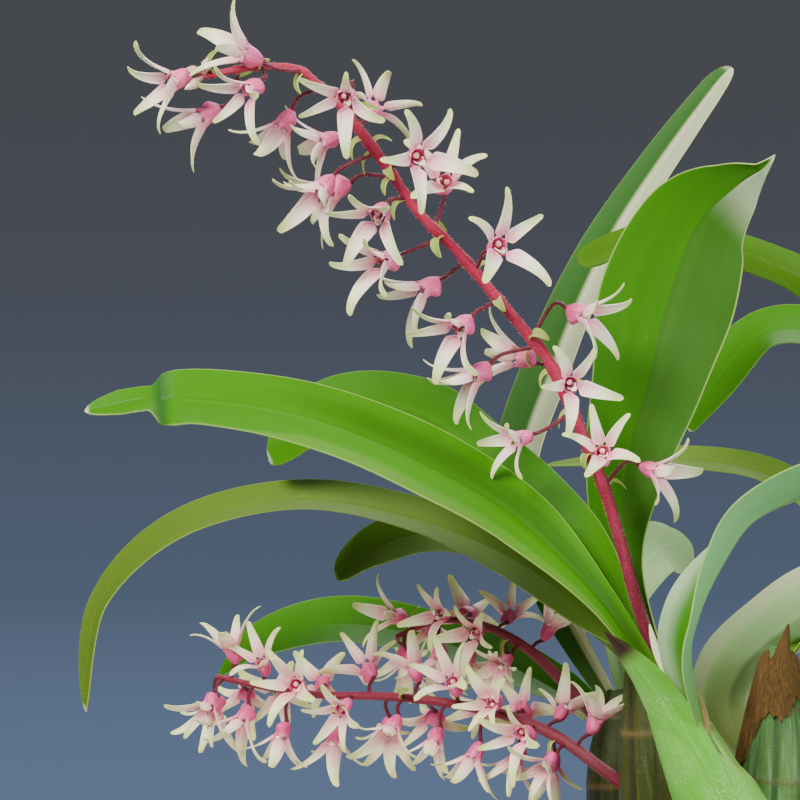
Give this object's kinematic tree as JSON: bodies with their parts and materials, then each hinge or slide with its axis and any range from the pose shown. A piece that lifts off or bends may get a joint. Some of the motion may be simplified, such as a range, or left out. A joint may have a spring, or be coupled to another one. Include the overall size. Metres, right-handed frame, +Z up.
{
  "type": "potted orchid plant",
  "caption": "Sympodial orchid in a plain clay pot, with upright pseudobulbs, arching strap leaves and nodding spikes of small starry cream and pink flowers.",
  "frame": {"origin": "centre of the underside of the pot", "axes": "+Z up out of the pot; -Y towards the side the main flower spike is seen from; the main spike leans to -X"},
  "size_m": [0.4453, 0.2717, 0.4548],
  "materials": {
    "clay": "matte, unglazed",
    "bark": "rough",
    "root": "matte",
    "bulb_green": "satin, a little mealy",
    "bulb_olive": "satin",
    "bulb_dark": "satin, striped",
    "leaf": "satin",
    "sheath_green": "matte, mealy",
    "sheath_dry": "dry, papery",
    "spike": "finely haired",
    "bloom": "soft satin",
    "spray": "soft satin"
  },
  "bodies": {
    "root": {"pot": "clay", "potting_mix": "bark", "rhizome": "root", "pseudobulb_front": "bulb_green", "pseudobulb_outer": "bulb_green", "pseudobulb_old": "bulb_olive", "pseudobulb_rear": "bulb_olive", "pseudobulb_sheathed": "bulb_dark", "pseudobulb_right": "bulb_dark", "leaf_front_long": "leaf", "leaf_front_second": "leaf", "leaf_upright": "leaf", "leaf_front_right": "leaf", "leaf_rear_tall": "leaf", "leaf_right_over": "leaf", "leaf_right_back": "leaf", "leaf_olive_bar": "leaf", "leaf_far_pale": "leaf", "leaf_sheathed_right": "leaf", "leaf_old_long": "leaf", "leaf_old_short": "leaf", "leaf_rear_left": "leaf", "leaf_outer_front": "leaf", "leaf_outer_right": "leaf", "leaf_outer_low": "leaf", "leaf_right_low": "leaf", "sheath_front": "sheath_green", "sheath_brown": "sheath_dry", "flower_spike": "spike", "bloom_1": "bloom", "bloom_2": "bloom", "bloom_3": "bloom", "bloom_4": "bloom", "bloom_5": "bloom", "bloom_6": "bloom", "bloom_7": "bloom", "bloom_8": "bloom", "bloom_9": "bloom", "bloom_10": "bloom", "bloom_11": "bloom", "bloom_12": "bloom", "bloom_13": "bloom", "bloom_14": "bloom", "bloom_15": "bloom", "bloom_16": "bloom", "bloom_17": "bloom", "bloom_18": "bloom", "bloom_19": "bloom", "bloom_20": "bloom", "bloom_21": "bloom", "bloom_22": "bloom", "bloom_23": "bloom", "bloom_24": "bloom", "flower_spray_low": "spray", "flower_spray_far": "spray"}
  },
  "joints": []
}
